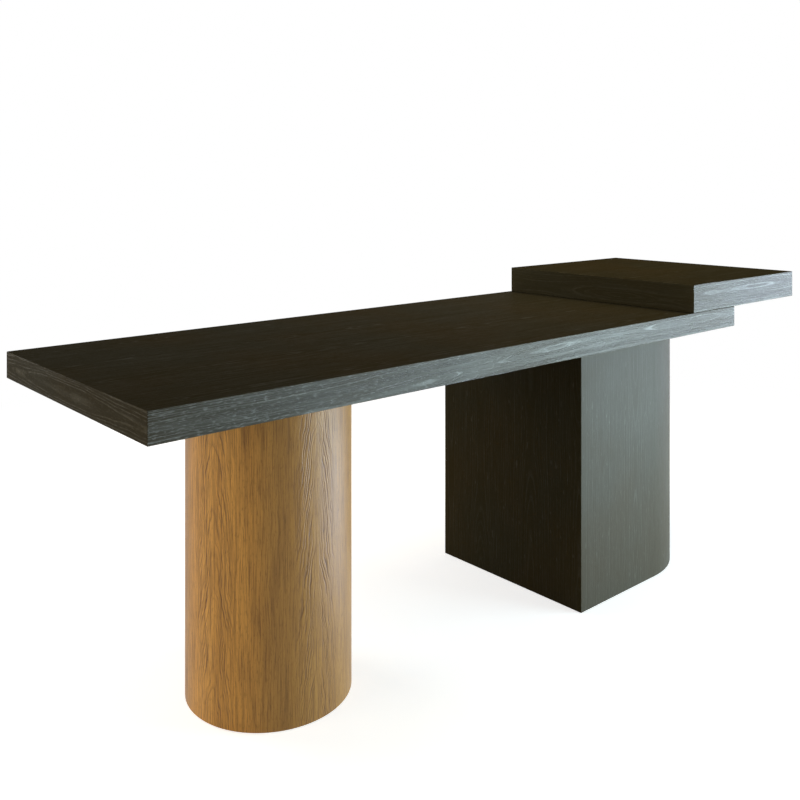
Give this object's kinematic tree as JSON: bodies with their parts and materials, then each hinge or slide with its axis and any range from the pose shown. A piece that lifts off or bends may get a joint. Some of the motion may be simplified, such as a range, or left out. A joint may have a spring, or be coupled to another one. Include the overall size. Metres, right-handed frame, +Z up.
{
  "type": "display table with drawers",
  "caption": "Long stepped display table on a round drum and a pedestal with one half-round end, with handleless drawers that pull out of the pedestal's back.",
  "frame": {"origin": "on the floor under the middle of the whole table", "axes": "+Z up, +X along the length towards the raised slab, +Y towards the staff side where the drawers open"},
  "size_m": [2.678, 0.82, 0.995],
  "materials": {
    "black_oak_top": "black stained open-grain oak, satin",
    "black_oak_riser": "black stained open-grain oak, satin",
    "black_oak_pedestal": "black stained open-grain oak, satin",
    "black_underside": "black painted board, matte",
    "natural_oak": "clear oiled oak veneer, satin",
    "birch_ply": "clear lacquered birch plywood",
    "core_board": "raw fibreboard",
    "zinc_steel": "bright zinc plated",
    "foot_steel": "zinc plated, with a dark glide"
  },
  "bodies": {
    "table": {"drum_base_board": "core_board", "drum_shell": "natural_oak", "drum_top_board": "core_board", "foot_bushes": "zinc_steel", "pedestal_base_board": "core_board", "pedestal_bottom_rail": "black_oak_pedestal", "pedestal_formers": "core_board", "pedestal_left_panel": "black_oak_pedestal", "pedestal_partition": "black_oak_pedestal", "pedestal_top_board": "core_board", "pedestal_top_rail": "black_oak_pedestal", "pedestal_wrap": "black_oak_pedestal", "riser_apron_back": "black_oak_riser", "riser_apron_front": "black_oak_riser", "riser_apron_left": "black_oak_riser", "riser_apron_right": "black_oak_riser", "riser_bottom_board": "black_underside", "riser_core_ribs": "core_board", "riser_skin": "black_oak_riser", "slide_carcase_members": "zinc_steel", "threaded_inserts": "zinc_steel", "top_apron_back": "black_oak_top", "top_apron_front": "black_oak_top", "top_apron_left": "black_oak_top", "top_apron_right": "black_oak_top", "top_bolts": "zinc_steel", "top_bottom_board": "black_underside", "top_core_ribs": "core_board", "top_lap_block": "core_board", "top_skin": "black_oak_top"},
    "drawer_1": {"drawer_1_back": "birch_ply", "drawer_1_bottom": "birch_ply", "drawer_1_front": "black_oak_pedestal", "drawer_1_side_left": "birch_ply", "drawer_1_side_right": "birch_ply", "slide_1_drawer": "zinc_steel"},
    "slide_middle_1": {"slide_1_middle": "zinc_steel"},
    "drawer_2": {"drawer_2_back": "birch_ply", "drawer_2_bottom": "birch_ply", "drawer_2_front": "black_oak_pedestal", "drawer_2_side_left": "birch_ply", "drawer_2_side_right": "birch_ply", "slide_2_drawer": "zinc_steel"},
    "slide_middle_2": {"slide_2_middle": "zinc_steel"},
    "drawer_3": {"drawer_3_back": "birch_ply", "drawer_3_bottom": "birch_ply", "drawer_3_front": "black_oak_pedestal", "drawer_3_side_left": "birch_ply", "drawer_3_side_right": "birch_ply", "slide_3_drawer": "zinc_steel"},
    "slide_middle_3": {"slide_3_middle": "zinc_steel"},
    "drum_foot_1": {"drum_foot_1": "foot_steel"},
    "drum_foot_2": {"drum_foot_2": "foot_steel"},
    "drum_foot_3": {"drum_foot_3": "foot_steel"},
    "pedestal_foot_1": {"pedestal_foot_1": "foot_steel"},
    "pedestal_foot_2": {"pedestal_foot_2": "foot_steel"},
    "pedestal_foot_3": {"pedestal_foot_3": "foot_steel"},
    "pedestal_foot_4": {"pedestal_foot_4": "foot_steel"}
  },
  "joints": [
    {"name": "drawer_1_slide", "type": "slide", "parent": "table", "child": "drawer_1", "axis": [0, 1, 0], "range_m": [0, 0.5]},
    {"name": "slide_middle_1_slide", "type": "slide", "parent": "table", "child": "slide_middle_1", "axis": [0, 1, 0], "range_m": [0, 0.25]},
    {"name": "drawer_2_slide", "type": "slide", "parent": "table", "child": "drawer_2", "axis": [0, 1, 0], "range_m": [0, 0.5]},
    {"name": "slide_middle_2_slide", "type": "slide", "parent": "table", "child": "slide_middle_2", "axis": [0, 1, 0], "range_m": [0, 0.25]},
    {"name": "drawer_3_slide", "type": "slide", "parent": "table", "child": "drawer_3", "axis": [0, 1, 0], "range_m": [0, 0.5]},
    {"name": "slide_middle_3_slide", "type": "slide", "parent": "table", "child": "slide_middle_3", "axis": [0, 1, 0], "range_m": [0, 0.25]},
    {"name": "drum_foot_1_screw", "type": "slide", "parent": "table", "child": "drum_foot_1", "axis": [0, 0, -1], "range_m": [0, 0.012]},
    {"name": "drum_foot_2_screw", "type": "slide", "parent": "table", "child": "drum_foot_2", "axis": [0, 0, -1], "range_m": [0, 0.012]},
    {"name": "drum_foot_3_screw", "type": "slide", "parent": "table", "child": "drum_foot_3", "axis": [0, 0, -1], "range_m": [0, 0.012]},
    {"name": "pedestal_foot_1_screw", "type": "slide", "parent": "table", "child": "pedestal_foot_1", "axis": [0, 0, -1], "range_m": [0, 0.012]},
    {"name": "pedestal_foot_2_screw", "type": "slide", "parent": "table", "child": "pedestal_foot_2", "axis": [0, 0, -1], "range_m": [0, 0.012]},
    {"name": "pedestal_foot_3_screw", "type": "slide", "parent": "table", "child": "pedestal_foot_3", "axis": [0, 0, -1], "range_m": [0, 0.012]},
    {"name": "pedestal_foot_4_screw", "type": "slide", "parent": "table", "child": "pedestal_foot_4", "axis": [0, 0, -1], "range_m": [0, 0.012]}
  ],
  "couplings": [
    {"joint": "slide_middle_1_slide", "follows": "drawer_1_slide", "ratio": 0.5},
    {"joint": "slide_middle_2_slide", "follows": "drawer_2_slide", "ratio": 0.5},
    {"joint": "slide_middle_3_slide", "follows": "drawer_3_slide", "ratio": 0.5}
  ]
}
